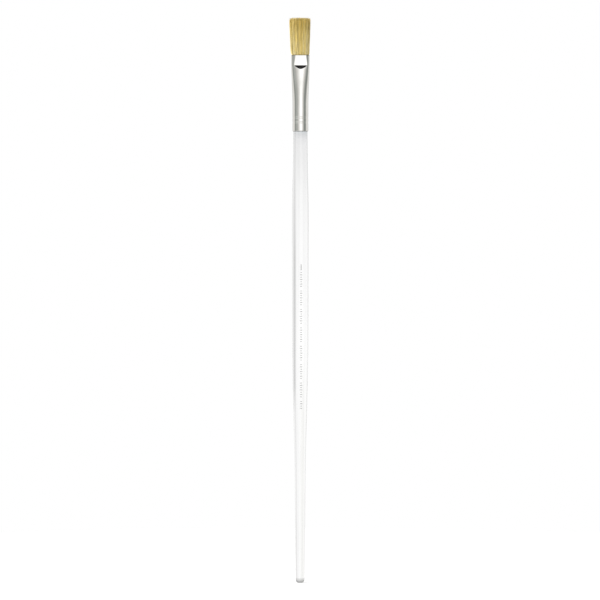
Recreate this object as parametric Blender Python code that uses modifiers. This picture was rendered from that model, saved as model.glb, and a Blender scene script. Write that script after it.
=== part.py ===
"""Flat bristle paint brush with a long clear handle, for Blender 4.5.

Units are metres. The brush stands on the tail of its handle with the bristles up: +Z runs
along the brush, the broad faces of the head look towards -Y and +Y, and the origin is the
lowest point of the tail. Run it with blender --background --python part.py, or from
Blender's text editor.
"""

import math

import bmesh
import bpy
from mathutils import Vector

MM = 0.001

# Driving lengths along the brush.
OVERALL_LENGTH = 320.0 * MM
BRISTLE_LENGTH = 21.4 * MM  # standing out of the ferrule
FERRULE_LENGTH = 43.1 * MM
GAP = 0.3 * MM  # between neighbouring pieces

MOUTH_Z = OVERALL_LENGTH - BRISTLE_LENGTH
FERRULE_BASE_Z = MOUTH_Z - FERRULE_LENGTH
SHOULDER_Z = FERRULE_BASE_Z - GAP

# Ferrule: a round tube at the handle, pressed flat at the mouth.
FERRULE_WALL = 0.35 * MM
FERRULE_RADIUS = 4.47 * MM
MOUTH_HALF_WIDTH = 5.18 * MM
MOUTH_HALF_DEPTH = 2.65 * MM  # of the oval that the pressed faces cut
PRESSED_HALF_DEPTH = 2.16 * MM  # to each flat pressed face
FLATTENING_START = 14.5 * MM  # above the ferrule's base
FLATTENING_END = 40.5 * MM
STEP_TOP = 37.35 * MM  # above the base, where the pressed faces begin
STEP_HEIGHT = 2.1 * MM
STEP_SLOPE = 0.32  # how far the step stands out per unit of its height
CRIMP_HEIGHTS = (5.0 * MM, 7.7 * MM)  # above the base
CRIMP_DEPTH = 0.11 * MM
CRIMP_HALF_WIDTH = 0.85 * MM
FERRULE_SIDES = 36

# Handle: (height, radius) down the turned outline, from the shoulder to the tail's dome.
HANDLE_OUTLINE = (
    (SHOULDER_Z, 4.19 * MM),
    (234.0 * MM, 4.47 * MM),
    (212.0 * MM, 4.80 * MM),
    (175.0 * MM, 4.68 * MM),
    (132.0 * MM, 4.50 * MM),
    (98.0 * MM, 3.85 * MM),
    (75.0 * MM, 3.25 * MM),
    (47.0 * MM, 2.90 * MM),
    (19.0 * MM, 2.78 * MM),
    (2.6 * MM, 2.60 * MM),
)
OUTLINE_STEPS = 3  # between two neighbouring points of the outline
TAIL_STEPS = 6
TAIL_BLUNTNESS = 2.7  # 2 is a round dome, and more is flatter with fuller corners
HANDLE_SIDES = 28

# Tenon: the stepped end of the handle inside the ferrule.
TENON_RADIUS = FERRULE_RADIUS - FERRULE_WALL - GAP
TENON_LENGTH = 16.5 * MM
TENON_CHAMFER = 0.6 * MM
CEMENT_THICKNESS = 0.3 * MM
CEMENT_BASE_Z = FERRULE_BASE_Z + 9.6 * MM
CEMENT_TOP_Z = CEMENT_BASE_Z + 5.4 * MM
CEMENT_SEAT_RADIUS = TENON_RADIUS - CEMENT_THICKNESS - GAP

# Bristle locks: rows of tufts, each one a group of neighbouring bristles.
FLEX_HEIGHT = 0.5 * MM  # of the bending line above the mouth
FLEX_Z = MOUTH_Z + FLEX_HEIGHT
FLEX_BASE_RADIUS = 1.6 * MM  # round the bending line, inside which the locks start
FLEX_CLEARANCE = 0.08 * MM  # least, between a turning lock and the inside of the mouth
LOCK_ROWS = ((-1, 8), (0, 9), (1, 8))  # (side of the head, locks in the row)
LOCK_PITCH = 1.0 * MM
ROW_PITCH = 0.95 * MM
ROOT_RADIUS = 0.36 * MM
TIP_RADIUS = 0.5 * MM
FLARE_ACROSS = 1.34  # how much further apart the tips are than the roots
FLARE_THROUGH = 1.26
TIP_DOME = 0.6 * MM  # how much lower the corner tips are than the middle ones
TIP_ROUNDING = 0.3 * MM
LOCK_STEPS = 6

# Roots: the far ends of the bristles, tied with thread and set in a plug of epoxy.
ROOTS_TOP_Z = FLEX_Z - FLEX_BASE_RADIUS - GAP
ROOTS_HEIGHT = 14.5 * MM
ROOTS_TOP_HALVES = (4.35 * MM, 1.45 * MM)  # across and through the head
ROOTS_BASE_HALVES = (3.5 * MM, 1.95 * MM)
ROOTS_SIDES = 24
THREAD_RADIUS = 0.15 * MM
THREAD_PITCH = 0.62 * MM
THREAD_TURNS = 4
THREAD_POINTS_PER_TURN = 18
THREAD_HEIGHT = 5.0 * MM  # of the first turn above the bottom of the roots
PLUG_UNDER_ROOTS = 3.0 * MM
PLUG_ROUND_ROOTS = 3.6 * MM


def clear_scene():
    for item in list(bpy.data.objects):
        bpy.data.objects.remove(item, do_unlink=True)


def new_collection(name):
    collection = bpy.data.collections.new(name)
    bpy.context.scene.collection.children.link(collection)
    return collection


def make_material(name, colour, roughness, metallic=0.0, transmission=0.0):
    material = bpy.data.materials.new(name)
    material.use_nodes = True
    shader = material.node_tree.nodes["Principled BSDF"]
    shader.inputs["Base Color"].default_value = (*colour, 1.0)
    shader.inputs["Roughness"].default_value = roughness
    shader.inputs["Metallic"].default_value = metallic
    shader.inputs["Transmission Weight"].default_value = transmission
    material.diffuse_color = (*colour, 1.0)
    return material


def add_object(name, data, material, collection, parent=None):
    item = bpy.data.objects.new(name, data)
    data.materials.append(material)
    collection.objects.link(item)
    item.parent = parent
    return item


def shade_round(mesh):
    mesh.shade_smooth()
    mesh.set_sharp_from_angle(angle=math.radians(40))


def turned(name, outline, closed, sides, material, collection):
    """Turn a piece about Z from (radius, height) points, listed down its outer side."""
    edges = [(i, i + 1) for i in range(len(outline) - 1)]
    if closed:
        edges.append((len(outline) - 1, 0))
    mesh = bpy.data.meshes.new(name)
    mesh.from_pydata([(radius, 0, z) for radius, z in outline], edges, [])
    item = add_object(name, mesh, material, collection)
    screw = item.modifiers.new("Turn", "SCREW")
    screw.axis = "Z"
    screw.angle = math.tau
    screw.steps = sides
    screw.render_steps = sides
    screw.use_merge_vertices = True
    screw.merge_threshold = 0.00001
    screw.use_smooth_shade = True
    return item


def lofted(name, rings, capped, material, collection):
    """Skin rings of points that run anticlockwise seen from above, in their order."""
    shape = bmesh.new()
    loops = [[shape.verts.new(point) for point in ring] for ring in rings]
    for first, second in zip(loops, loops[1:]):
        for i in range(len(first)):
            j = (i + 1) % len(first)
            shape.faces.new((first[i], first[j], second[j], second[i]))
    if capped:
        shape.faces.new(list(reversed(loops[0])))
        shape.faces.new(loops[-1])
    mesh = bpy.data.meshes.new(name)
    shape.to_mesh(mesh)
    shape.free()
    shade_round(mesh)
    return add_object(name, mesh, material, collection)


def wire(name, points, radii, depth, material, collection, parent=None):
    """Make a round wire or tuft along points, as thick as depth times its radii."""
    curve = bpy.data.curves.new(name, "CURVE")
    curve.dimensions = "3D"
    curve.bevel_depth = depth
    curve.bevel_resolution = 2
    curve.use_fill_caps = True
    spline = curve.splines.new("POLY")
    spline.points.add(len(points) - 1)
    for knot, point, radius in zip(spline.points, points, radii):
        knot.co = (*point, 1.0)
        knot.radius = radius
    return add_object(name, curve, material, collection, parent)


def smoothstep(t):
    t = min(max(t, 0.0), 1.0)
    return t * t * (3.0 - 2.0 * t)


def mix(start, end, t):
    return start + (end - start) * t


def smooth_outline(points, steps):
    """Return points on a Catmull-Rom curve through (height, radius) points."""
    knots = [Vector(point) for point in points]
    knots = [2 * knots[0] - knots[1], *knots, 2 * knots[-1] - knots[-2]]
    curve = []
    for before, start, end, after in zip(knots, knots[1:], knots[2:], knots[3:]):
        for step in range(steps):
            t = step / steps
            curve.append(
                0.5
                * (
                    2 * start
                    + (end - before) * t
                    + (2 * before - 5 * start + 4 * end - after) * t**2
                    + (3 * start - before - 3 * end + after) * t**3
                )
            )
    curve.append(knots[-2])
    return curve


def oval(half_width, half_depth, z, sides, half_limit=math.inf):
    """Return an oval ring, its two broad sides cut flat at half_limit from the middle."""
    ring = []
    for i in range(sides):
        angle = math.tau * i / sides
        y = half_depth * math.sin(angle)
        y = max(-half_limit, min(half_limit, y))
        ring.append((half_width * math.cos(angle), y, z))
    return ring


def ferrule_halves(height):
    """Half width and half depth of the ferrule's oval at a height above its base."""
    span = FLATTENING_END - FLATTENING_START
    flattened = smoothstep((height - FLATTENING_START) / span)
    crimp = sum(crimp_depth(height - centre) for centre in CRIMP_HEIGHTS)
    half_width = mix(FERRULE_RADIUS, MOUTH_HALF_WIDTH, flattened) - crimp
    half_depth = mix(FERRULE_RADIUS, MOUTH_HALF_DEPTH, flattened) - crimp
    return half_width, half_depth


def crimp_depth(offset):
    """Depth of a rolled crimp at an offset along the brush from its middle."""
    reach = min(abs(offset) / CRIMP_HALF_WIDTH, 1.0)
    return CRIMP_DEPTH * 0.5 * (1.0 + math.cos(math.pi * reach))


def press_limit(height):
    """Half depth that the press leaves: flat faces at the mouth, over a sloping step."""
    under_step = STEP_TOP - height
    if under_step > STEP_HEIGHT:
        return math.inf
    return PRESSED_HALF_DEPTH + STEP_SLOPE * max(under_step, 0.0)


def crimped_heights(centre):
    return [centre + CRIMP_HALF_WIDTH * k / 2 for k in (-2, -1, 0, 1, 2)]


def spaced(start, end, count):
    return [mix(start, end, i / (count - 1)) for i in range(count)]


def make_ferrule(material, collection):
    heights = [0.0]
    for centre in CRIMP_HEIGHTS:
        heights += crimped_heights(centre)
    heights += spaced(FLATTENING_START, STEP_TOP - STEP_HEIGHT, 9)
    heights += spaced(STEP_TOP - STEP_HEIGHT, STEP_TOP, 4)[1:]
    heights += [FLATTENING_END, FERRULE_LENGTH]
    rings = []
    for height in heights:
        halves = ferrule_halves(height)
        z = FERRULE_BASE_Z + height
        rings.append(oval(*halves, z, FERRULE_SIDES, press_limit(height)))
    item = lofted("ferrule", rings, False, material, collection)
    shell = item.modifiers.new("Wall", "SOLIDIFY")
    shell.thickness = FERRULE_WALL
    shell.offset = -1.0
    shell.use_even_offset = True
    return item


def tenon_outline():
    """Radius and height down the tenon, from its flat end to its foot in the shoulder."""
    top_z = FERRULE_BASE_Z + TENON_LENGTH
    outline = [
        (0.0, top_z),
        (CEMENT_SEAT_RADIUS - TENON_CHAMFER, top_z),
        (CEMENT_SEAT_RADIUS, top_z - TENON_CHAMFER),
        (CEMENT_SEAT_RADIUS, CEMENT_BASE_Z - GAP),
        (TENON_RADIUS, CEMENT_BASE_Z - GAP),
    ]
    for centre in reversed(CRIMP_HEIGHTS):
        for height in reversed(crimped_heights(centre)):
            radius = TENON_RADIUS - crimp_depth(height - centre)
            outline.append((radius, FERRULE_BASE_Z + height))
    outline.append((TENON_RADIUS, SHOULDER_Z))
    return outline


def make_handle(material, collection):
    outline = tenon_outline()
    body = smooth_outline(HANDLE_OUTLINE, OUTLINE_STEPS)
    outline += [(radius, z) for z, radius in body]
    tail_z, tail_radius = HANDLE_OUTLINE[-1]
    for i in range(1, TAIL_STEPS):
        angle = math.pi / 2 * i / TAIL_STEPS
        across = math.cos(angle) ** (2 / TAIL_BLUNTNESS)
        down = math.sin(angle) ** (2 / TAIL_BLUNTNESS)
        outline.append((tail_radius * across, tail_z * (1 - down)))
    outline.append((0.0, 0.0))
    return turned("handle", outline, False, HANDLE_SIDES, material, collection)


def make_handle_cement(material, collection):
    inner = CEMENT_SEAT_RADIUS + GAP
    outer = inner + CEMENT_THICKNESS
    outline = [
        (inner, CEMENT_TOP_Z),
        (outer, CEMENT_TOP_Z),
        (outer, CEMENT_BASE_Z),
        (inner, CEMENT_BASE_Z),
    ]
    return turned("handle_cement", outline, True, HANDLE_SIDES, material, collection)


def roots_halves(z):
    """Half width and half depth of the bundle of roots at a height."""
    t = (ROOTS_TOP_Z - z) / ROOTS_HEIGHT
    return tuple(mix(top, base, t) for top, base in zip(ROOTS_TOP_HALVES, ROOTS_BASE_HALVES))


def make_bristle_roots(material, collection):
    heights = spaced(ROOTS_TOP_Z - ROOTS_HEIGHT, ROOTS_TOP_Z, 6)
    rings = [oval(*roots_halves(z), z, ROOTS_SIDES) for z in heights]
    return lofted("bristle_roots", rings, True, material, collection)


def make_binding_thread(material, collection):
    points = []
    clearance = GAP + THREAD_RADIUS
    for i in range(THREAD_TURNS * THREAD_POINTS_PER_TURN + 1):
        turn = i / THREAD_POINTS_PER_TURN
        z = ROOTS_TOP_Z - ROOTS_HEIGHT + THREAD_HEIGHT + THREAD_PITCH * turn
        half_width, half_depth = roots_halves(z)
        x = (half_width + clearance) * math.cos(math.tau * turn)
        y = (half_depth + clearance) * math.sin(math.tau * turn)
        points.append((x, y, z))
    radii = [1.0] * len(points)
    return wire("binding_thread", points, radii, THREAD_RADIUS, material, collection)


def make_epoxy_plug(material, collection):
    """A plug that fills the ferrule, with a pocket round the lower end of the roots."""
    roots_base_z = ROOTS_TOP_Z - ROOTS_HEIGHT
    top_z = roots_base_z + PLUG_ROUND_ROOTS
    rings = []
    for z in spaced(roots_base_z - PLUG_UNDER_ROOTS, top_z, 5):
        inside = [half - FERRULE_WALL - GAP for half in ferrule_halves(z - FERRULE_BASE_Z)]
        rings.append(oval(*inside, z, ROOTS_SIDES))
    for z in (top_z, roots_base_z - GAP):
        pocket = [half + GAP for half in roots_halves(z)]
        rings.append(oval(*pocket, z, ROOTS_SIDES))
    return lofted("epoxy_plug", rings, True, material, collection)


def lock_point(x_root, y_root, t):
    """Sideways place, from the middle of the head, of a lock at a share t of its length."""
    opened = 1.0 - (1.0 - t) ** 2
    return x_root * mix(1.0, FLARE_ACROSS, opened), y_root * mix(1.0, FLARE_THROUGH, opened)


def mouth_room(x):
    """Half depth inside the ferrule's mouth, at a place across its width."""
    inner_width = MOUTH_HALF_WIDTH - FERRULE_WALL
    inner_depth = MOUTH_HALF_DEPTH - FERRULE_WALL
    oval_room = inner_depth * math.sqrt(1.0 - (x / inner_width) ** 2)
    return min(oval_room, PRESSED_HALF_DEPTH - FERRULE_WALL)


def lock_path(side, x_root):
    """Points and radii of a lock, from its base in the mouth to its rounded tip."""
    y_root = side * ROW_PITCH
    reach = abs(y_root) + ROOT_RADIUS
    room = mouth_room(abs(x_root) + ROOT_RADIUS) - FLEX_CLEARANCE
    turning_radius = min(FLEX_BASE_RADIUS, room)
    base_z = -math.sqrt(max(turning_radius**2 - reach**2, 0.0))
    tip_offset = lock_point(x_root, y_root, 1.0)[0] / MOUTH_HALF_WIDTH
    tip_z = OVERALL_LENGTH - FLEX_Z - TIP_DOME * tip_offset**2
    shares = spaced(0.0, 1.0 - TIP_ROUNDING / (tip_z - base_z), LOCK_STEPS)
    points = [(*lock_point(x_root, y_root, t), mix(base_z, tip_z, t)) for t in shares]
    points.append((*lock_point(x_root, y_root, 1.0), tip_z))
    radii = [mix(1.0, TIP_RADIUS / ROOT_RADIUS, smoothstep(t)) for t in shares]
    radii.append(radii[-1] * 0.6)
    return points, radii


def make_bristle_locks(material, collection):
    """Rows of locks that bend together about a line across the mouth."""
    flex = bpy.data.objects.new("bristle_flex_line", None)
    flex.location = (0.0, 0.0, FLEX_Z)
    flex.empty_display_size = MOUTH_HALF_WIDTH
    collection.objects.link(flex)
    number = 1
    for side, count in LOCK_ROWS:
        for i in range(count):
            x_root = (i - (count - 1) / 2) * LOCK_PITCH
            points, radii = lock_path(side, x_root)
            name = f"bristle_lock_{number:02d}"
            wire(name, points, radii, ROOT_RADIUS, material, collection, flex)
            number += 1


def main():
    clear_scene()
    brush = new_collection("paint_brush")
    make_handle(make_material("clear_acrylic", (0.95, 0.96, 0.97), 0.05, 0.0, 1.0), brush)
    make_ferrule(make_material("nickel_plate", (0.72, 0.72, 0.70), 0.18, 1.0), brush)
    make_handle_cement(make_material("cement", (0.80, 0.78, 0.70), 0.40), brush)
    make_bristle_roots(make_material("bristle_root", (0.60, 0.49, 0.25), 0.60), brush)
    make_binding_thread(make_material("waxed_thread", (0.85, 0.82, 0.74), 0.75), brush)
    make_epoxy_plug(make_material("epoxy", (0.50, 0.36, 0.14), 0.30), brush)
    make_bristle_locks(make_material("hog_bristle", (0.57, 0.43, 0.16), 0.55), brush)


main()
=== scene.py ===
"""Looks of the flat bristle paint brush: its bristles, ferrule, clear handle, light and camera.

Everything is in metres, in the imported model's frame: +Z runs along the brush, its broad faces
look towards -Y and +Y, and the tail of the handle touches the floor at the origin.
"""

import math

import bpy
import numpy as np
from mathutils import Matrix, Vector


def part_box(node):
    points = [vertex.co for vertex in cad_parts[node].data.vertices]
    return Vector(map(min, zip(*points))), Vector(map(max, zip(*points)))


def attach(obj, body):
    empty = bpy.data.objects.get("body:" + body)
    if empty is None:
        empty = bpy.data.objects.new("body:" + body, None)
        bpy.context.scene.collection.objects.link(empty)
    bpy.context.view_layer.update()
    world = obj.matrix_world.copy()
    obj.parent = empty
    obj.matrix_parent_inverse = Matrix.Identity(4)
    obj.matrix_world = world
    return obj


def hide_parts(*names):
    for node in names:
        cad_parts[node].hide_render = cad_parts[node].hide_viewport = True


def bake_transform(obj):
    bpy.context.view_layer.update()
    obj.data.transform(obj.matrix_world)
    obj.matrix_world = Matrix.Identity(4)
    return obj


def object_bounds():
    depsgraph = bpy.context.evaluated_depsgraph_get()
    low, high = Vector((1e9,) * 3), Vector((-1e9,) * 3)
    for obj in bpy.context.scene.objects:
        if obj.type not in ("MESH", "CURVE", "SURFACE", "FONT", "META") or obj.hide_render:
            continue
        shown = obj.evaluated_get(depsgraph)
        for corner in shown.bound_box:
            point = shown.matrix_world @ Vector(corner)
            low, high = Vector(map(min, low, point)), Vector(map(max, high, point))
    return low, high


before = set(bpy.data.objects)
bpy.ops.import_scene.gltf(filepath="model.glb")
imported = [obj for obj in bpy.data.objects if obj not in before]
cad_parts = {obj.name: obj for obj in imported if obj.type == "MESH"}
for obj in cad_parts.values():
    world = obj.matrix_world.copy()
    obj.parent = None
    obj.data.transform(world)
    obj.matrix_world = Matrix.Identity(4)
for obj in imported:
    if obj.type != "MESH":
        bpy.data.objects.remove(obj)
cad_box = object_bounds()

MM = 0.001
SEED = 9

# Places from the frame.
FERRULE_LOW, FERRULE_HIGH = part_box("ferrule")
ROOTS_LOW, ROOTS_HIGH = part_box("bristle_roots")
FERRULE_BASE_Z = FERRULE_LOW.z
MOUTH_Z = FERRULE_HIGH.z
TENON_TOP_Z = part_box("handle")[1].z
TIP_Z = cad_box[1].z
HEAD_LENGTH = TIP_Z - MOUTH_Z
ROOT_DEPTH = MOUTH_Z - ROOTS_LOW.z
LOCKS = sorted(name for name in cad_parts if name.startswith("bristle_lock_"))

# Ferrule: the part's own shape, with a rolled rim and its corners eased. Heights are above its base.
FERRULE_WALL = 0.35 * MM
FERRULE_RADIUS = FERRULE_HIGH.y
FERRULE_LENGTH = MOUTH_Z - FERRULE_BASE_Z
MOUTH_HALF_WIDTH = FERRULE_HIGH.x
MOUTH_HALF_DEPTH = 2.65 * MM
PRESSED_HALF_DEPTH = 2.16 * MM
FLATTENING_START = 14.5 * MM
FLATTENING_END = 40.5 * MM
STEP_TOP = 37.30 * MM
STEP_SLOPE = 0.335
STEP_EASE = 0.02 * MM
SLOPE_EASE = 6 * STEP_EASE
STEP_SQUARENESS = 2.5  # 2 is an oval section, and more has fuller corners
STEP_SQUARE_START = 34.6 * MM
PRESS_TILT = 0.015
CRIMP_HEIGHTS = (5.0 * MM, 7.7 * MM)
CRIMP_DEPTH = 0.085 * MM
CRIMP_HALF_WIDTH = 0.85 * MM
BASE_ROLL_HEIGHT = -0.3 * MM
FERRULE_SIDES = 144
FERRULE_RING_STEP = 0.10 * MM
INNER_RING_STRIDE = 4
RIM_STEPS = 6
# Painted shade: how far down from the mouth the rim is darkened.
RIM_SHADE_HEIGHT = 0.4 * MM

# The room inside the ferrule's mouth.
MOUTH_ROOM_WIDTH = MOUTH_HALF_WIDTH - FERRULE_WALL
MOUTH_ROOM_DEPTH = MOUTH_HALF_DEPTH - FERRULE_WALL
PRESSED_ROOM_DEPTH = PRESSED_HALF_DEPTH - FERRULE_WALL

# Handle: (height, radius) down the turned outline. Near its top the radius is up to 0.3 mm less
# than the part's.
SHOULDER_Z = FERRULE_BASE_Z - 0.1 * MM
HANDLE_OUTLINE = (
    (SHOULDER_Z, 4.00 * MM),
    (234.0 * MM, 4.20 * MM),
    (212.0 * MM, 4.66 * MM),
    (175.0 * MM, 4.62 * MM),
    (132.0 * MM, 4.50 * MM),
    (98.0 * MM, 3.85 * MM),
    (75.0 * MM, 3.25 * MM),
    (47.0 * MM, 2.90 * MM),
    (19.0 * MM, 2.78 * MM),
    (2.6 * MM, 2.60 * MM),
)
OUTLINE_STEPS = 14
TAIL_STEPS = 20
TAIL_BLUNTNESS = 2.7  # 2 is a round dome, and more is flatter with fuller corners
HANDLE_SIDES = 96
HANDLE_CORNER = math.radians(35)  # edges that turn more than this stay sharp
TENON_RADIUS = 3.82 * MM
TENON_SEAT_RADIUS = 3.22 * MM
TENON_STEP_Z = FERRULE_BASE_Z + 9.3 * MM
TENON_CHAMFER = 0.6 * MM
CRIMP_POINTS = 9

# Grey ticks printed in a line down the front of the handle, in groups, under one upright dash.
# Sizes are (width, height).
PRINT_TOP_Z = 180.3 * MM
PRINT_LENGTH = 81.5 * MM
PRINT_SIDE = 0.45 * MM
PRINT_THICKNESS = 0.02 * MM
PRINT_COLUMNS = 5
DASH_SIZE = (0.6 * MM, 3.4 * MM)
DASH_ROWS = 8
TICK_SIZES = ((1.3 * MM, 0.55 * MM), (0.9 * MM, 0.5 * MM))
TICK_ROWS = 2
TICK_PITCH = 1.3 * MM
TICKS_IN_GROUP = 7

# Painted shade in the clear handle, as (place, colour or grey) pairs: under the ferrule, in a grey core
# and a dark line along it, and in the tail's dome. Places are shares of SHADED_LENGTH under the
# ferrule, of the handle's height for the two lines along it, and of TAIL_SHADE_HEIGHT.
SHADED_LENGTH = 120.0 * MM
FERRULE_SHADE = (
    (0.0, (0.62, 0.65, 0.67)),
    (0.015, (0.67, 0.68, 0.69)),
    (0.035, (0.78, 0.78, 0.79)),
    (0.065, (0.835, 0.835, 0.84)),
    (0.15, 0.86),
    (0.30, 0.925),
    (0.50, 0.96),
    (1.0, 1.0),
)
# Painted shade: a grey core down the lower handle, just right of its middle.
CORE_SIDE = 1.1 * MM
CORE_HALF_WIDTH = 0.7 * MM
CORE_SHADE = ((0.33, (0.90, 0.90, 0.885)), (0.55, 1.0))
# Painted shade: a dark line down the left of the handle, over the middle of its height.
EDGE_LINE_SIDE = -3.2 * MM
EDGE_LINE_HALF_WIDTH = 0.45 * MM
EDGE_LINE_SHADE = ((0.38, 1.0), (0.44, 0.62), (0.72, 0.64), (0.78, 0.80), (0.85, 0.89), (0.92, 1.0))
# Painted shade in the tail's dome, a grey band just above its end.
TAIL_SHADE_HEIGHT = 3.0 * MM
TAIL_SHADE = ((0.30, 1.0), (0.45, 0.95), (0.58, 0.74), (0.74, 0.76), (1.0, 1.0))

# Places of the bristles: a hexagonal lattice, jittered by shares of its pitch, and the same for clumps.
BRISTLE_PITCH = 0.205 * MM
BRISTLE_JITTER = 0.22
CLUMP_PITCH = 0.62 * MM
CLUMP_JITTER = 0.3
ROW_SPACING = 0.866
LOCK_ROOT_HEIGHT = 0.2 * MM

# One bristle.
BRISTLE_ROOT_RADIUS = 0.095 * MM
BRISTLE_TIP_RADIUS = 0.045 * MM
BRISTLE_TAPER = 1.4
BRISTLE_SIDES = 6
BRISTLE_RINGS_FREE = 14
BRISTLE_RINGS_INSIDE = 4
RING_CROWDING = 1.15  # above 1, the rings are closer together near the mouth
TIP_NARROWING = 0.55
GIRTH = (0.8, 1.15)

# Split ends of a bristle.
FLAG_SHARE = 0.7
FLAG_COUNT = 2
FLAG_START = 0.25 * MM
FLAG_LEAN = 0.09 * MM
FLAG_BOW = 1.5
FLAG_LENGTH = (0.4 * MM, 0.75 * MM)
FLAG_NARROWING = (0.85, 0.25)
FLAG_POINTS = 4

# How much shorter than the head the bristles are.
FLAG_ROOM = 0.30 * MM
CORNER_ROUNDING = 0.10 * MM
CORNER_CUT = 0.45 * MM
CORNER_POWER = 8
USUAL_SHORTENING = 0.25 * MM
MOST_SHORTENING = 2.5 * MM

# How the head widens and thins above the mouth, as shares of its size in the mouth.
RIM_SPREAD = 0.11
RIM_SPREAD_HEIGHT = 0.6 * MM
TIP_SPREAD = 0.17
RIM_THICKENING = 0.12
RIM_THICKENING_HEIGHT = 1.1 * MM
BELLY = 0.14
TIP_THINNING = 0.32
ROOTS_SHARE = 0.8
HEAD_LEAN = 0.25 * MM
LEAN_HEIGHT = 2.5 * MM

# How single bristles stray: towards their clump, aside, and in a wave that turns by WAVE_TURN
# radians up to the tip. Above 1, a bow leaves more of the way to the tip.
CLUMP_PULL = (0.25, 0.65)
PULL_BOW = 1.5
WANDER = 0.14 * MM
WANDER_BOW = 1.3
STRAY_SHARE = 0.12
STRAY_WANDER = 2.6
WAVE_SIZE = 0.05 * MM
WAVE_TURN = 5.0

# Tone is how light a bristle is, and hue is how grey instead of golden. Places across the head are
# shares of its half width, and the left is below zero. Colours go from the mouth at 0 to the tips
# at 1.
CLUMP_TONE = 0.8
OWN_TONE = 1.5
# Painted light: a lighter band left of the middle, on the key lamp's side.
LIGHT_BAND = 1.2
LIGHT_BAND_PLACE = -0.55
LIGHT_BAND_WIDTH = 0.35
MIDDLE_TONE = -0.6
# Painted shade: the left edge is darker.
LEFT_EDGE_TONE = -1.5
LEFT_EDGE_PLACE = 0.75
CLUMP_HUE = 0.5
OWN_HUE = 1.0
# Painted sheen: bristles greyer towards the left, where the key lamp's gloss falls.
LEFT_HUE = 2.0
MIDDLE_HUE = -0.2
RIGHT_EDGE_HUE = -0.6
RIGHT_EDGE_PLACE = 0.6
PALE_SHARE = 0.10
PALE_TONE = 2.0
PALE_HUE = 1.2
# The stop at 0 is painted shade where the bristles leave the mouth.
BRISTLE_COLOURS = (
    (0.0, (0.44, 0.35, 0.14)),
    (0.03, (0.62, 0.50, 0.190)),
    (0.25, (0.64, 0.51, 0.185)),
    (0.5, (0.64, 0.505, 0.170)),
    (0.82, (0.57, 0.425, 0.112)),
    (0.93, (0.59, 0.44, 0.122)),
    (1.0, (0.72, 0.58, 0.21)),
)
HUE_COLOURS = ((0.0, (0.99, 0.93, 0.72)), (0.5, 1.0), (1.0, (1.0, 1.05, 1.42)))

# Camera: level, far away and facing the brush's front.
LENS = 200.0
SENSOR = 36.0
FRAME_HEIGHT = 0.3396
CAMERA_HEIGHT = 0.1601
CAMERA_SIDE = -0.00015
CAMERA_ROLL = -0.0007
CAMERA_REACH = 20.0

# Floor and lamps. A lamp is (name, place, width, power).
FLOOR_RADIUS = 0.45
FLOOR_SIDES = 96
LAMP_TARGET = (0.0, 0.0, 0.3)
LAMPS = (
    ("key_light", (-0.75, -0.5, 0.65), 0.4, 7.0),
    ("fill_light", (0.2, -0.9, 0.5), 0.6, 2.0),
)

# Brightness of what stands round the brush, by bearing in degrees: 0 is in front of its face
# and 90 is to its right.
STUDIO_RING = (
    (-180, 1.25),
    (-170, 1.15),
    (-158, 0.45),
    (-148, 0.55),
    (-136, 1.00),
    (-125, 1.00),
    (-98, 0.86),
    (-90, 0.62),
    (-79, 0.28),
    (-64, 0.50),
    (-43, 0.54),
    (-27, 0.77),
    (-12, 1.10),
    (0, 1.50),
    (18, 1.50),
    (33, 0.90),
    (49, 0.50),
    (66, 0.26),
    (80, 0.38),
    (90, 0.60),
    (107, 1.00),
    (134, 0.98),
    (146, 0.55),
    (158, 0.42),
    (168, 1.05),
    (180, 1.25),
)

# The same for what is seen through the handle.
CARD_RING = (
    (-180, 1.03),
    (-165, 1.06),
    (-138, 1.08),
    (-128, 0.95),
    (-118, 1.05),
    (-110, 0.87),
    (-95, 0.83),
    (-80, 1.00),
    (-62, 0.75),
    (-50, 0.75),
    (-35, 1.00),
    (0, 0.80),
    (20, 0.80),
    (40, 1.05),
    (70, 0.80),
    (90, 0.75),
    (115, 1.05),
    (126, 1.00),
    (135, 0.92),
    (141, 0.77),
    (148, 0.87),
    (155, 0.95),
    (162, 0.99),
    (180, 1.03),
)

# The mirrored studio by elevation, from straight down at 0 to straight up at 1: its brightness,
# with a dark strip that the ferrule's sloping steps mirror, and the softbox's share in it.
SKY = (
    (0.0, 1.0),
    (0.62, 1.0),
    (0.64, (0.04, 0.035, 0.03)),
    (0.70, (0.018, 0.028, 0.022)),
    (0.76, (0.018, 0.028, 0.022)),
    (0.80, 0.9),
    (1.0, 1.0),
)
SOFTBOX_SHARE = ((0.43, 0.8), (0.45, 0.0), (0.585, 0.0), (0.597, 0.8))

# Faint colour of the mirrored studio, from its darkest to its brightest part.
BRIGHTEST = 1.5
STUDIO_TINT = (
    (0.20, (0.975, 1.04, 0.975)),
    (0.36, (1.00, 1.02, 0.975)),
    (0.48, (1.025, 1.0, 0.965)),
    (0.70, (1.01, 1.0, 0.98)),
    (1.0, (1.0, 1.0, 0.99)),
)

# What is seen through the handle by elevation in radians: greyer from above.
CARD_TOP = ((0.09, 1.0), (0.20, 0.55), (1.0, 0.5))

WHITE = (1.0, 1.0, 1.0, 1.0)


def smoothstep(t):
    """Rises smoothly from 0 to 1 while t does, and is level before and after."""
    t = np.clip(t, 0.0, 1.0)
    return t * t * (3.0 - 2.0 * t)


def mix(start, end, t):
    return start + (end - start) * t


# ---------------------------------------------------------------- meshes


def unit_circle(sides):
    """(x, y) points of a circle with radius 1."""
    angles = np.arange(sides) * math.tau / sides
    return np.stack([np.cos(angles), np.sin(angles)], axis=1)


def new_mesh_object(name, points, faces, material):
    mesh = bpy.data.meshes.new(name)
    mesh.from_pydata([tuple(p) for p in points], [], faces)
    mesh.shade_smooth()
    mesh.materials.append(material)
    item = bpy.data.objects.new(name, mesh)
    bpy.context.scene.collection.objects.link(item)
    return item


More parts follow.
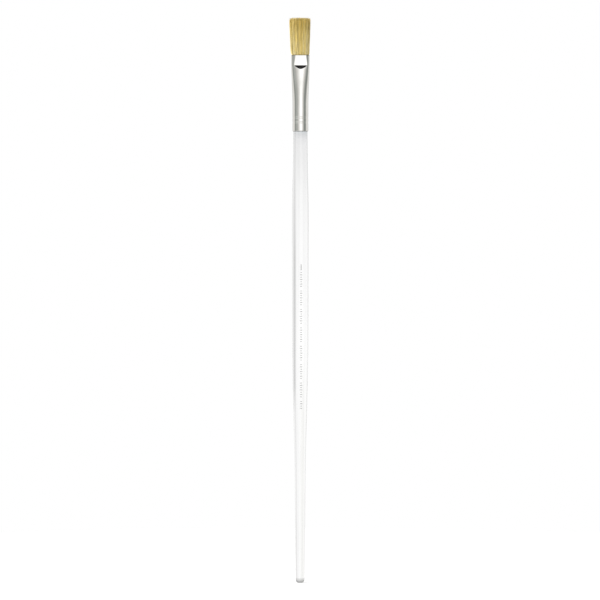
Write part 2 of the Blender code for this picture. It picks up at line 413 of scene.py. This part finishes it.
def grid_faces(rings, sides, first=0):
    """Faces of a closed tube whose rings of points follow each other."""
    faces = []
    for ring in range(rings - 1):
        for i in range(sides):
            j = (i + 1) % sides
            low = first + ring * sides
            faces.append((low + i, low + j, low + sides + j, low + sides + i))
    return faces


def turned_object(name, outline, sides, material):
    """Turn (radius, height) points, from the bottom of the axis to its top, about Z."""
    circle = unit_circle(sides)
    inner = outline[1:-1]
    points = [(0.0, 0.0, outline[0][1])]
    for radius, z in inner:
        points += [(radius * x, radius * y, z) for x, y in circle]
    points.append((0.0, 0.0, outline[-1][1]))
    faces = grid_faces(len(inner), sides, first=1)
    last = len(points) - 1
    for i in range(sides):
        j = (i + 1) % sides
        faces.append((0, 1 + j, 1 + i))
        faces.append((last, last - sides + i, last - sides + j))
    return new_mesh_object(name, points, faces, material)


# ---------------------------------------------------------------- ferrule


def crimp_depth(offset):
    """Depth of a rolled crimp at an offset from its middle."""
    reach = np.minimum(np.abs(offset) / CRIMP_HALF_WIDTH, 1.0)
    return CRIMP_DEPTH * 0.5 * (1.0 + np.cos(np.pi * reach))


def eased_limit(value, limit, ease):
    """The smaller of value and limit, with a rounded corner where they meet."""
    middle = (value + limit) / 2
    half = (value - limit) / 2
    return middle - np.sqrt(half**2 + ease**2)


def eased_ramp(value, ease):
    """Zero below zero and value above it, with a rounded corner."""
    return (value + math.sqrt(value**2 + ease**2)) / 2


def ferrule_ring(height, inset, angles):
    """Points of the ferrule's section at a height above its base, inset from the outside."""
    span = FLATTENING_END - FLATTENING_START
    flattened = smoothstep((height - FLATTENING_START) / span)
    crimp = sum(crimp_depth(height - centre) for centre in (BASE_ROLL_HEIGHT, *CRIMP_HEIGHTS))
    half_width = mix(FERRULE_RADIUS, MOUTH_HALF_WIDTH, flattened) - crimp - inset
    half_depth = mix(FERRULE_RADIUS, MOUTH_HALF_DEPTH, flattened) - crimp - inset
    limit = PRESSED_HALF_DEPTH - inset + STEP_SLOPE * eased_ramp(STEP_TOP - height, SLOPE_EASE)
    squarer = smoothstep((height - STEP_SQUARE_START) / (STEP_TOP - STEP_SQUARE_START))
    squarer -= smoothstep((height - STEP_TOP) / (FERRULE_LENGTH - STEP_TOP))
    power = 2.0 / mix(2.0, STEP_SQUARENESS, squarer)
    face = np.sign(np.sin(angles))
    x = half_width * np.abs(np.cos(angles)) ** power * np.sign(np.cos(angles))
    depth = half_depth * np.abs(np.sin(angles)) ** power
    depth = np.maximum(eased_limit(depth, limit + PRESS_TILT * x * face, STEP_EASE), 0.0)
    z = np.full_like(x, FERRULE_BASE_Z + height)
    return np.stack([x, depth * face, z], axis=1)


def ferrule_rings():
    """Rings up the outside, over the rolled rim, down the inside and round the base's edge."""
    angles = np.arange(FERRULE_SIDES) * math.tau / FERRULE_SIDES
    heights = np.linspace(0.0, FERRULE_LENGTH, int(FERRULE_LENGTH / FERRULE_RING_STEP))
    half_wall = FERRULE_WALL / 2
    rings = [ferrule_ring(height, 0.0, angles) for height in heights[1:-1]]
    for step in range(RIM_STEPS + 1):
        turn = math.pi * step / RIM_STEPS
        inset = half_wall * (1.0 - math.cos(turn))
        height = FERRULE_LENGTH - half_wall * (1.0 - math.sin(turn))
        rings.append(ferrule_ring(height, inset, angles))
    for height in (*heights[-2:0:-INNER_RING_STRIDE], heights[1]):
        rings.append(ferrule_ring(height, FERRULE_WALL, angles))
    for step in range(1, RIM_STEPS + 1):
        turn = math.pi * step / RIM_STEPS
        inset = half_wall * (1.0 + math.cos(turn))
        height = half_wall * (1.0 - math.sin(turn))
        rings.append(ferrule_ring(height, inset, angles))
    return rings


def make_ferrule(material):
    rings = ferrule_rings()
    faces = grid_faces(len(rings), FERRULE_SIDES)
    last = (len(rings) - 1) * FERRULE_SIDES
    for i in range(FERRULE_SIDES):
        j = (i + 1) % FERRULE_SIDES
        faces.append((last + i, last + j, j, i))
    item = new_mesh_object("ferrule_shell", np.concatenate(rings), faces, material)
    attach(item, "handle")
    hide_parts("ferrule")


# ---------------------------------------------------------------- handle


def curve_point(before, start, end, after, t):
    """The point at t, from 0 to 1, of a smooth curve from start to end (Catmull-Rom)."""
    straight = 2 * start + (end - before) * t
    bent = (2 * before - 5 * start + 4 * end - after) * t**2
    twisted = (3 * start - before - 3 * end + after) * t**3
    return 0.5 * (straight + bent + twisted)


def smooth_outline(points, steps):
    """Points on a smooth curve through (height, radius) points."""
    knots = [Vector(point) for point in points]
    knots = [2 * knots[0] - knots[1], *knots, 2 * knots[-1] - knots[-2]]
    curve = []
    for neighbours in zip(knots, knots[1:], knots[2:], knots[3:]):
        curve += [curve_point(*neighbours, step / steps) for step in range(steps)]
    curve.append(knots[-2])
    return curve


def handle_radius(z):
    """Radius of the handle's outside at a height."""
    outline = smooth_outline(HANDLE_OUTLINE, OUTLINE_STEPS)
    heights = [point[0] for point in reversed(outline)]
    radii = [point[1] for point in reversed(outline)]
    return float(np.interp(z, heights, radii))


def tail_outline():
    """(radius, height) points from the floor up the blunt dome of the tail."""
    tail_z, tail_radius = HANDLE_OUTLINE[-1]
    outline = [(0.0, 0.0)]
    for step in range(1, TAIL_STEPS):
        turn = math.pi / 2 * step / TAIL_STEPS
        across = math.sin(turn) ** (2.0 / TAIL_BLUNTNESS)
        down = math.cos(turn) ** (2.0 / TAIL_BLUNTNESS)
        outline.append((tail_radius * across, tail_z * (1.0 - down)))
    return outline


def tenon_outline():
    """(radius, height) points up the tenon, which follows the ferrule's crimps."""
    outline = [(TENON_RADIUS, SHOULDER_Z)]
    for centre in CRIMP_HEIGHTS:
        for offset in np.linspace(-CRIMP_HALF_WIDTH, CRIMP_HALF_WIDTH, CRIMP_POINTS):
            height = FERRULE_BASE_Z + centre + offset
            outline.append((TENON_RADIUS - float(crimp_depth(offset)), height))
    outline.append((TENON_RADIUS, TENON_STEP_Z))
    outline.append((TENON_SEAT_RADIUS, TENON_STEP_Z))
    outline.append((TENON_SEAT_RADIUS, TENON_TOP_Z - TENON_CHAMFER))
    outline.append((TENON_SEAT_RADIUS - TENON_CHAMFER, TENON_TOP_Z))
    outline.append((0.0, TENON_TOP_Z))
    return outline


def make_handle(material):
    body = [(radius, z) for z, radius in reversed(smooth_outline(HANDLE_OUTLINE, OUTLINE_STEPS))]
    outline = tail_outline() + body + tenon_outline()
    item = turned_object("handle_rod", outline, HANDLE_SIDES, material)
    item.data.set_sharp_from_angle(angle=HANDLE_CORNER)
    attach(item, "handle")
    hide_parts("handle")


def print_patch(points, faces, middle, size, rows):
    """Add a thin closed patch of print that follows the handle's surface."""
    width, height = size
    columns = PRINT_COLUMNS
    first = len(points)
    for lift in (PRINT_THICKNESS, -PRINT_THICKNESS):
        for z in np.linspace(middle - height / 2, middle + height / 2, rows):
            radius = handle_radius(z) + lift
            for x in np.linspace(PRINT_SIDE - width / 2, PRINT_SIDE + width / 2, columns):
                points.append((x, -math.sqrt(radius**2 - x**2), z))
    inner = rows * columns
    corner = list(range(first, first + inner))
    for row in range(rows - 1):
        for column in range(columns - 1):
            a = corner[row * columns + column]
            b = corner[(row + 1) * columns + column]
            faces.append((a, a + 1, b + 1, b))
            faces.append((a + inner, b + inner, b + 1 + inner, a + 1 + inner))
    border = corner[:columns]
    border += [corner[row * columns + columns - 1] for row in range(1, rows)]
    border += corner[-2 : -columns - 1 : -1]
    border += [corner[row * columns] for row in range(rows - 2, 0, -1)]
    for a, b in zip(border, border[1:] + border[:1]):
        faces.append((a, a + inner, b + inner, b))


def make_print(material):
    points, faces = [], []
    dash_length = DASH_SIZE[1]
    print_patch(points, faces, PRINT_TOP_Z - dash_length / 2, DASH_SIZE, DASH_ROWS)
    places = int((PRINT_LENGTH - dash_length) / TICK_PITCH)
    for i in range(1, places + 1):
        if i % (TICKS_IN_GROUP + 1) == 0:
            continue
        middle = PRINT_TOP_Z - dash_length - i * TICK_PITCH
        print_patch(points, faces, middle, TICK_SIZES[i % len(TICK_SIZES)], TICK_ROWS)
    item = new_mesh_object("printed_ticks", points, faces, material)
    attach(item, "handle")


# ---------------------------------------------------------------- bristles


def mouth_room(x):
    """Half depth inside the ferrule's mouth, at places across its width."""
    oval = MOUTH_ROOM_DEPTH * np.sqrt(np.maximum(1.0 - (x / MOUTH_ROOM_WIDTH) ** 2, 0.0))
    return np.minimum(oval, PRESSED_ROOM_DEPTH)


def lattice(pitch, jitter, rng):
    """Places on a jittered hexagonal lattice inside the ferrule's mouth."""
    places = []
    rows = int(MOUTH_ROOM_WIDTH / (pitch * ROW_SPACING)) + 1
    for row in range(-rows, rows + 1):
        for column in range(-rows * 2, rows * 2 + 1):
            x = (column + 0.5 * (row % 2)) * pitch
            places.append((x, row * pitch * ROW_SPACING))
    places = np.array(places)
    places += rng.uniform(-jitter, jitter, places.shape) * pitch
    across, deep = np.abs(places).T
    margin = pitch / 2
    room = mouth_room(np.clip(across + margin, 0, MOUTH_ROOM_WIDTH)) - margin
    return places[(across < MOUTH_ROOM_WIDTH - margin) & (deep < room)]


def lock_roots():
    """Where each lock leaves the mouth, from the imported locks."""
    centres = []
    for name in LOCKS:
        points = np.array([v.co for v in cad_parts[name].data.vertices])
        low = points[points[:, 2] < points[:, 2].min() + LOCK_ROOT_HEIGHT]
        centres.append(low[:, :2].mean(axis=0))
    return np.array(centres)


def nearest(places, centres):
    """Number of the centre that is nearest to each place."""
    distance = np.linalg.norm(places[:, None, :] - centres[None, :, :], axis=2)
    return distance.argmin(axis=1)


def settled(height, reach):
    """Share of a change that starts at the mouth and is nearly over after a few reaches."""
    return 1.0 - np.exp(-np.maximum(height, 0.0) / reach)


def head_spread(height):
    """How much wider the head is at heights above the mouth than in it."""
    share = np.clip(height / HEAD_LENGTH, 0.0, 1.0)
    return 1.0 + RIM_SPREAD * settled(height, RIM_SPREAD_HEIGHT) + TIP_SPREAD * share


def head_thickness(height):
    """How much thicker the head is at heights above the mouth than in it."""
    share = np.clip(height / HEAD_LENGTH, 0.0, 1.0)
    rim = RIM_THICKENING * settled(height, RIM_THICKENING_HEIGHT)
    return 1.0 + rim + BELLY * np.sin(np.pi * share) - TIP_THINNING * share**2


def bristle_lengths(side, rng):
    """Free lengths: shorter at the head's corners, and most by a little at random."""
    across = np.abs(side)
    corner = CORNER_ROUNDING * across**2 + CORNER_CUT * across**CORNER_POWER
    short = np.minimum(rng.exponential(USUAL_SHORTENING, len(side)), MOST_SHORTENING)
    return HEAD_LENGTH - FLAG_ROOM - corner - short


def bristle_tones(side, clump_tone, rng):
    """How light each bristle is: painted light in a band left of the middle, and painted shade at the
    left edge.
    """
    tone = CLUMP_TONE * clump_tone + OWN_TONE * rng.normal(0.0, 1.0, len(side))
    tone += LIGHT_BAND * np.exp(-(((side - LIGHT_BAND_PLACE) / LIGHT_BAND_WIDTH) ** 2)) + MIDDLE_TONE
    return tone + LEFT_EDGE_TONE * smoothstep((-side - LEFT_EDGE_PLACE) / (1.0 - LEFT_EDGE_PLACE))


def bristle_hues(side, clump_hue, rng):
    """How grey each bristle is: more towards the left, as a painted sheen, and less at the right edge.
    """
    hue = CLUMP_HUE * clump_hue + OWN_HUE * rng.normal(0.0, 1.0, len(side))
    hue += LEFT_HUE * np.maximum(-side, 0.0) + MIDDLE_HUE
    return hue + RIGHT_EDGE_HUE * smoothstep((side - RIGHT_EDGE_PLACE) / (1.0 - RIGHT_EDGE_PLACE))


class Bristles:
    """Every drawn bristle: each array has one entry, or one (x, y) pair, for each of them."""

    def __init__(self, rng):
        self.root = lattice(BRISTLE_PITCH, BRISTLE_JITTER, rng)
        clumps = lattice(CLUMP_PITCH, CLUMP_JITTER, rng)
        clump_of = nearest(self.root, clumps)
        self.clump = clumps[clump_of]
        clump_tone = rng.normal(0.0, 1.0, len(clumps))[clump_of]
        count = len(self.root)
        side = self.root[:, 0] / MOUTH_ROOM_WIDTH
        self.length = bristle_lengths(side, rng)
        self.pull = rng.uniform(*CLUMP_PULL, count) * (1.0 - side**4)
        self.wander = rng.normal(0.0, WANDER, (count, 2))
        self.wave_phase = rng.uniform(0, math.tau, (count, 2))
        self.wave_size = rng.normal(0.0, WAVE_SIZE, (count, 2))
        self.tone = bristle_tones(side, clump_tone, rng)
        clump_hue = rng.normal(0.0, 1.0, len(clumps))[clump_of]
        self.hue = bristle_hues(side, clump_hue, rng)
        pale = rng.random(count) < PALE_SHARE
        self.tone[pale] += PALE_TONE
        self.hue[pale] += PALE_HUE
        self.girth = rng.uniform(*GIRTH, count)
        self.wander[rng.random(count) < STRAY_SHARE] *= STRAY_WANDER


def bristle_heights(length):
    """Heights above the mouth of the rings of a bristle with a free length, from its root up."""
    inside = np.linspace(-ROOT_DEPTH, 0.0, BRISTLE_RINGS_INSIDE + 1)[:-1]
    free = np.linspace(0.0, 1.0, BRISTLE_RINGS_FREE) ** RING_CROWDING
    return np.concatenate([inside, free * length])


def bristle_line(bristles, b, heights):
    """The middle of a bristle at heights above the mouth, and its radius there."""
    share = np.clip(heights / bristles.length[b], 0.0, 1.0)
    deep = np.clip(-heights / ROOT_DEPTH, 0.0, 1.0)
    spread = np.stack([head_spread(heights), head_thickness(heights)], axis=1)
    root_narrowing = np.array([1.0 - ROOTS_HIGH.x * ROOTS_SHARE / MOUTH_ROOM_WIDTH, 0.0])
    pull = bristles.pull[b] * share[:, None] ** PULL_BOW
    pulled = bristles.root[b] + (bristles.clump[b] - bristles.root[b]) * pull
    centre = pulled * spread * (1.0 - deep[:, None] * root_narrowing)
    centre += bristles.wander[b] * share[:, None] ** WANDER_BOW
    wave = np.sin(bristles.wave_phase[b] + share[:, None] * WAVE_TURN) * bristles.wave_size[b]
    centre += wave * share[:, None]
    centre[:, 0] -= HEAD_LEAN * settled(heights, LEAN_HEIGHT)
    radius = mix(BRISTLE_ROOT_RADIUS, BRISTLE_TIP_RADIUS, share**BRISTLE_TAPER) * bristles.girth[b]
    radius[-1] *= TIP_NARROWING
    return np.column_stack([centre, MOUTH_Z + heights]), radius


def flag_line(line, radius, rng):
    """A split end: a short thin hair that leaves a bristle's tip."""
    start = line[-1] - np.array([0, 0, FLAG_START])
    lean = rng.normal(0.0, FLAG_LEAN, 2)
    length = rng.uniform(*FLAG_LENGTH)
    steps = np.linspace(0.0, 1.0, FLAG_POINTS)
    offset = np.column_stack([np.outer(steps**FLAG_BOW, lean), length * steps])
    return start + offset, radius * mix(*FLAG_NARROWING, steps)


class Tubes:
    """Upright tubes that make one mesh, with values at each point that its material reads."""

    def __init__(self):
        self.points = []
        self.faces = []
        self.values = {"along": [], "tone": [], "hue": []}

    def add(self, line, radius, sides, **values):
        """Add a capped tube round a line. A value is one number, or one for each point of the line."""
        circle = np.column_stack([unit_circle(sides), np.zeros(sides)])
        first = len(self.points)
        for centre, size in zip(line, radius):
            self.points.extend(centre + circle * size)
        self.faces.extend(grid_faces(len(line), sides, first))
        self.faces.append(tuple(first + i for i in reversed(range(sides))))
        top = first + (len(line) - 1) * sides
        self.faces.append(tuple(top + i for i in range(sides)))
        for name, value in values.items():
            self.values[name].extend(np.repeat(np.broadcast_to(value, len(line)), sides))

    def make_object(self, name, material):
        item = new_mesh_object(name, self.points, self.faces, material)
        for value_name, values in self.values.items():
            attribute = item.data.attributes.new(value_name, "FLOAT", "POINT")
            attribute.data.foreach_set("value", np.array(values, np.float32))
        rest = item.data.attributes.new("rest", "FLOAT_VECTOR", "POINT")
        rest.data.foreach_set("vector", np.array(self.points, np.float32).ravel())
        return item


def lock_tubes(bristles, members, rng):
    """The bristles of one lock, most of them with split ends."""
    tubes = Tubes()
    for b in members:
        heights = bristle_heights(bristles.length[b])
        line, radius = bristle_line(bristles, b, heights)
        look = {"tone": bristles.tone[b], "hue": bristles.hue[b]}
        tubes.add(line, radius, BRISTLE_SIDES, along=heights / HEAD_LENGTH, **look)
        flag_count = FLAG_COUNT if rng.random() < FLAG_SHARE else 0
        for _ in range(flag_count):
            flag, flag_radius = flag_line(line, radius[-1], rng)
            tubes.add(flag, flag_radius, BRISTLE_SIDES // 2, along=1.0, **look)
    return tubes


def make_bristles(material):
    rng = np.random.default_rng(SEED)
    bristles = Bristles(rng)
    lock_of = nearest(bristles.root, lock_roots())
    for lock_number, lock_name in enumerate(LOCKS):
        tubes = lock_tubes(bristles, np.flatnonzero(lock_of == lock_number), rng)
        item = tubes.make_object(f"bristles_{lock_number + 1:02d}", material)
        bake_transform(item)
        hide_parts(lock_name, "bristle_roots")


# ---------------------------------------------------------------- materials


class Nodes:
    """A small helper that makes and links the nodes of one node tree."""

    def __init__(self, tree):
        self.tree = tree

    def add(self, kind, settings=None, **inputs):
        node = self.tree.nodes.new(kind)
        for key, value in (settings or {}).items():
            setattr(node, key, value)
        for socket, value in inputs.items():
            self.set(node, socket, value)
        return node

    def set(self, node, socket, value):
        """Link a socket, named or numbered, to an output, or give it a value."""
        target = node.inputs[socket]
        if isinstance(value, bpy.types.NodeSocket):
            self.tree.links.new(value, target)
        else:
            target.default_value = value

    def math(self, operation, a, b=0.0, c=0.0, clamp=False):
        node = self.add("ShaderNodeMath", {"operation": operation, "use_clamp": clamp})
        for i, value in enumerate((a, b, c)):
            self.set(node, i, value)
        return node.outputs[0]

    def ramp(self, value, stops):
        """A colour by value. The stops are (value, (r, g, b)) or (value, grey)."""
        node = self.add("ShaderNodeValToRGB", Fac=value)
        elements = node.color_ramp.elements
        while len(elements) < len(stops):
            elements.new(0.5)
        for element, (position, colour) in zip(elements, stops):
            element.position = position
            element.color = (*np.broadcast_to(colour, 3), 1.0)
        return node.outputs[0]

    def colours(self, kind, factor, a, b):
        """Two colours mixed, or blended in another way."""
        node = self.add("ShaderNodeMix", {"data_type": "RGBA", "blend_type": kind})
        for socket, value in ((0, factor), (6, a), (7, b)):
            self.set(node, socket, value)
        return node.outputs[2]

    def multiplied(self, first, *others):
        """The product of colours."""
        for other in others:
            first = self.colours("MULTIPLY", 1.0, first, other)
        return first

    def pick(self, switch, off, on):
        """The number on where switch is 1, and off where it is 0."""
        node = self.add("ShaderNodeMix", {"data_type": "FLOAT"})
        for socket, value in ((0, switch), (2, off), (3, on)):
            self.set(node, socket, value)
        return node.outputs[0]

    def place(self):
        """Object coordinates."""
        return self.add("ShaderNodeTexCoord").outputs["Object"]

    def attribute(self, name, output="Fac"):
        return self.add("ShaderNodeAttribute", {"attribute_name": name}).outputs[output]

    def noise(self, scale, detail=3.0, roughness=0.5, place=None):
        """Noise over a place, or else over object coordinates, with a scale for each axis."""
        mapping = self.add("ShaderNodeMapping", Vector=place or self.place(), Scale=scale)
        inputs = {"Scale": 1.0, "Detail": detail, "Roughness": roughness}
        return self.add("ShaderNodeTexNoise", Vector=mapping.outputs[0], **inputs).outputs["Fac"]

    def bump(self, height, strength, distance):
        node = self.add("ShaderNodeBump", Height=height, Strength=strength, Distance=distance)
        return node.outputs[0]


def new_material(name):
    material = bpy.data.materials.new(name)
    material.use_nodes = True
    nodes = Nodes(material.node_tree)
    shader = material.node_tree.nodes["Principled BSDF"]
    return material, nodes, shader


def bristle_material():
    """Golden hog bristle: each one has its own tone and hue, which also carry painted light, sheen and
    shade, with painted shade at the roots and fine streaks along it.
    """
    material, nodes, shader = new_material("hog_bristle")
    # The ramp holds painted shade at the roots.
    colour = nodes.ramp(nodes.attribute("along"), BRISTLE_COLOURS)
    rest = nodes.attribute("rest", "Vector")
    drift = nodes.math("MULTIPLY_ADD", nodes.noise((1300, 1300, 260), place=rest), 1.3, -0.15)
    hue = nodes.math("MULTIPLY_ADD", nodes.attribute("hue"), 0.26, drift)
    tone = nodes.math("MULTIPLY_ADD", nodes.attribute("tone"), 0.11, 0.50)
    light = nodes.math("ADD", nodes.noise((1500, 1500, 190), place=rest), tone)
    shade = nodes.add("ShaderNodeCombineColor", Red=light, Green=light, Blue=light).outputs[0]
    tint = nodes.ramp(hue, HUE_COLOURS)
    nodes.set(shader, "Base Color", nodes.multiplied(colour, tint, shade))
    nodes.set(shader, "Roughness", 0.42)
    nodes.set(shader, "Specular IOR Level", 0.4)
    return material


def nickel_material():
    """Bright nickel plate with faint lines along it and smudges, with painted shade at its rim."""
    material, nodes, shader = new_material("nickel_plate")
    drawn = nodes.noise((1400, 1400, 40), detail=4.0)
    smudge = nodes.noise((160, 160, 110), detail=5.0, roughness=0.6)
    rough = nodes.math("MULTIPLY_ADD", drawn, 0.05, 0.04)
    nodes.set(shader, "Roughness", nodes.math("MULTIPLY_ADD", smudge, 0.06, rough))
    tint = nodes.ramp(smudge, ((0.3, (0.70, 0.695, 0.675)), (0.7, (0.77, 0.765, 0.75))))
    height = nodes.add("ShaderNodeSeparateXYZ", Vector=nodes.place()).outputs["Z"]
    # Painted shade at the rim, where the bristles meet the mouth.
    under_mouth = nodes.math("SUBTRACT", MOUTH_Z, height)
    rim = nodes.ramp(nodes.math("DIVIDE", under_mouth, RIM_SHADE_HEIGHT), ((0.0, 0.7), (1.0, 1.0)))
    nodes.set(shader, "Base Color", nodes.multiplied(tint, rim))
    nodes.set(shader, "Metallic", 1.0)
    nodes.set(shader, "Normal", nodes.bump(drawn, strength=0.05, distance=0.02 * MM))
    return material


def line_shade(nodes, x, middle, half_width, shade):
    """A painted shade within half_width of a line along the handle, and white from twice that."""
    off = nodes.math("ABSOLUTE", nodes.math("SUBTRACT", x, middle))
    near = nodes.math("MULTIPLY_ADD", off, -1.0 / half_width, 2.0, clamp=True)
    return nodes.colours("MIX", near, WHITE, shade)


def handle_colour(nodes):
    """Tint of the acrylic: painted shade under the ferrule, at its grazing edges, in a core, in a line
    along it and in the tail, with faint random streaks.
    """
    parts = nodes.add("ShaderNodeSeparateXYZ", Vector=nodes.place()).outputs
    x, z = parts["X"], parts["Z"]
    # Painted shade under the ferrule, fading down the handle and lighter towards its left side.
    under_ferrule = nodes.math("DIVIDE", nodes.math("SUBTRACT", SHOULDER_Z, z), SHADED_LENGTH)
    height = nodes.math("DIVIDE", z, SHOULDER_Z)
    across = nodes.math("MULTIPLY_ADD", x, 160.0, 0.85, clamp=True)
    shaded = nodes.colours("MIX", across, WHITE, nodes.ramp(under_ferrule, FERRULE_SHADE))
    # Painted shade: the acrylic is greyer where its surface is seen edge on.
    facing = nodes.add("ShaderNodeLayerWeight", Blend=0.5).outputs["Facing"]
    core = nodes.ramp(height, CORE_SHADE)
    edge_line = nodes.ramp(height, EDGE_LINE_SHADE)
    return nodes.multiplied(
        shaded,
        # painted shade towards the grazing edges
        nodes.ramp(facing, ((0.2, 1.0), (0.75, 0.9))),
        # painted shade: the grey core
        line_shade(nodes, x, CORE_SIDE, CORE_HALF_WIDTH, core),
        # painted shade: the dark line on the left
        line_shade(nodes, x, EDGE_LINE_SIDE, EDGE_LINE_HALF_WIDTH, edge_line),
        # painted shade in the tail's dome
        nodes.ramp(nodes.math("DIVIDE", z, TAIL_SHADE_HEIGHT), TAIL_SHADE),
        nodes.ramp(nodes.noise((650, 650, 12), detail=2.0), ((0.38, 0.93), (0.56, 1.0))),
    )


def acrylic_material():
    """Clear acrylic with a slight haze and ripple."""
    material, nodes, shader = new_material("clear_acrylic")
    haze = nodes.noise((300, 300, 60), detail=5.0, roughness=0.6)
    nodes.set(shader, "Roughness", nodes.math("MULTIPLY_ADD", haze, 0.05, 0.01))
    nodes.set(shader, "Base Color", handle_colour(nodes))
    nodes.set(shader, "Transmission Weight", 1.0)
    nodes.set(shader, "IOR", 1.49)
    ripple = nodes.noise((90, 90, 25))
    nodes.set(shader, "Normal", nodes.bump(ripple, strength=0.1, distance=0.1 * MM))
    return material


def plain_material(name, dark, light, roughness, scale):
    """A matt or satin material whose colour varies between two colours."""
    material, nodes, shader = new_material(name)
    patches = nodes.noise((scale, scale, scale), detail=4.0)
    nodes.set(shader, "Base Color", nodes.ramp(patches, ((0.3, dark), (0.7, light))))
    nodes.set(shader, "Roughness", roughness)
    nodes.set(shader, "Normal", nodes.bump(patches, strength=0.3, distance=0.05 * MM))
    return material


def print_material():
    """Grey ink."""
    return plain_material("grey_print", 0.36, (0.55, 0.55, 0.54), 0.5, 2500)


def dress_hidden_parts():
    """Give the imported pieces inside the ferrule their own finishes."""
    finishes = {
        "handle_cement": ("cement", (0.74, 0.72, 0.64), (0.83, 0.81, 0.74), 0.5, 900),
        "epoxy_plug": ("epoxy", (0.36, 0.22, 0.07), (0.48, 0.32, 0.12), 0.2, 500),
        "binding_thread": ("waxed_thread", (0.76, 0.72, 0.62), (0.88, 0.85, 0.78), 0.8, 3000),
    }
    for name, finish in finishes.items():
        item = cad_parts[name]
        item.data.materials.clear()
        item.data.materials.append(plain_material(*finish))


# ---------------------------------------------------------------- studio


def ring_light(nodes, bearing, ring):
    """Brightness by bearing, from (degrees, brightness) pairs."""
    position = nodes.math("MULTIPLY_ADD", bearing, 1.0 / math.tau, 0.5)
    return nodes.ramp(position, [((angle + 180) / 360, value) for angle, value in ring])


def mirrored_studio(nodes, parts, ring):
    """What the ferrule mirrors: the ring near level, and mostly a softbox above and below it."""
    elevation = nodes.math("MULTIPLY_ADD", nodes.math("ARCSINE", parts["Z"]), 1.0 / math.pi, 0.5)
    softbox = nodes.math("MULTIPLY_ADD", parts["X"], -0.30, 0.80)
    surroundings = nodes.pick(nodes.ramp(elevation, SOFTBOX_SHARE), ring, softbox)
    return nodes.math("MULTIPLY", surroundings, nodes.ramp(elevation, SKY))


def seen_through_handle(nodes, parts, bearing):
    """What is seen through the clear handle: white, with grey cards that draw its edges."""
    above = nodes.ramp(nodes.math("ARCSINE", parts["Z"]), CARD_TOP)
    return nodes.math("MULTIPLY", ring_light(nodes, bearing, CARD_RING), above)


def make_world():
    """A white studio: what lights, what is mirrored and what is seen through acrylic differ."""
    world = bpy.data.worlds.new("studio")
    bpy.context.scene.world = world
    world.use_nodes = True
    world.node_tree.nodes.clear()
    nodes = Nodes(world.node_tree)
    direction = nodes.add("ShaderNodeTexCoord").outputs["Generated"]
    parts = nodes.add("ShaderNodeSeparateXYZ", Vector=direction).outputs
    front = nodes.math("MULTIPLY", parts["Y"], -1.0)
    bearing = nodes.math("ARCTAN2", parts["X"], front)
    ring = ring_light(nodes, bearing, STUDIO_RING)
    ray = nodes.add("ShaderNodeLightPath").outputs
    strength = 1.0
    for is_ray, value in (
        (ray["Is Diffuse Ray"], nodes.math("MULTIPLY_ADD", parts["X"], -0.24, 0.78)),
        (ray["Is Glossy Ray"], mirrored_studio(nodes, parts, ring)),
        (ray["Is Transmission Ray"], seen_through_handle(nodes, parts, bearing)),
    ):
        strength = nodes.pick(is_ray, strength, value)
    tint = nodes.ramp(nodes.math("DIVIDE", ring, BRIGHTEST), STUDIO_TINT)
    tint = nodes.colours("MIX", ray["Is Glossy Ray"], WHITE, tint)
    tint = nodes.colours("MIX", ray["Is Transmission Ray"], tint, WHITE)
    background = nodes.add("ShaderNodeBackground", Color=tint, Strength=strength)
    nodes.add("ShaderNodeOutputWorld", Surface=background.outputs[0])


def make_floor():
    """A white disc that mirrors and clear acrylic do not show."""
    material, nodes, shader = new_material("white_floor")
    nodes.set(shader, "Base Color", nodes.ramp(nodes.noise((40, 40, 40)), ((0, 0.93), (1, 0.95))))
    nodes.set(shader, "Roughness", 0.9)
    nodes.set(shader, "Specular IOR Level", 0.0)
    nodes.set(shader, "Emission Color", WHITE)
    nodes.set(shader, "Emission Strength", 0.2)
    rim = [(FLOOR_RADIUS * x, FLOOR_RADIUS * y, 0.0) for x, y in unit_circle(FLOOR_SIDES)]
    floor = new_mesh_object("floor", rim, [tuple(range(FLOOR_SIDES))], material)
    floor.visible_glossy = False
    floor.visible_transmission = False


def add_lamp(name, place, width, power):
    """A square area light that faces the brush and is not seen itself."""
    light = bpy.data.lights.new(name, "AREA")
    light.shape = "SQUARE"
    light.size = width
    light.energy = power
    lamp = bpy.data.objects.new(name, light)
    bpy.context.scene.collection.objects.link(lamp)
    lamp.location = place
    to_target = Vector(LAMP_TARGET) - Vector(place)
    lamp.rotation_euler = to_target.to_track_quat("-Z", "Y").to_euler()
    lamp.visible_glossy = False
    lamp.visible_transmission = False
    lamp.visible_camera = False


def make_camera():
    camera = bpy.data.objects.new("camera", bpy.data.cameras.new("camera"))
    camera.data.lens = LENS
    camera.data.sensor_width = SENSOR
    distance = FRAME_HEIGHT * LENS / SENSOR
    camera.location = (CAMERA_SIDE, -distance, CAMERA_HEIGHT)
    camera.rotation_euler = (math.pi / 2, CAMERA_ROLL, 0.0)
    camera.data.clip_end = CAMERA_REACH
    bpy.context.scene.collection.objects.link(camera)
    bpy.context.scene.camera = camera
    bpy.context.scene.view_settings.view_transform = "Standard"


make_camera()
make_world()
for lamp in LAMPS:
    add_lamp(*lamp)
make_floor()
make_ferrule(nickel_material())
make_handle(acrylic_material())
make_print(print_material())
make_bristles(bristle_material())
dress_hidden_parts()
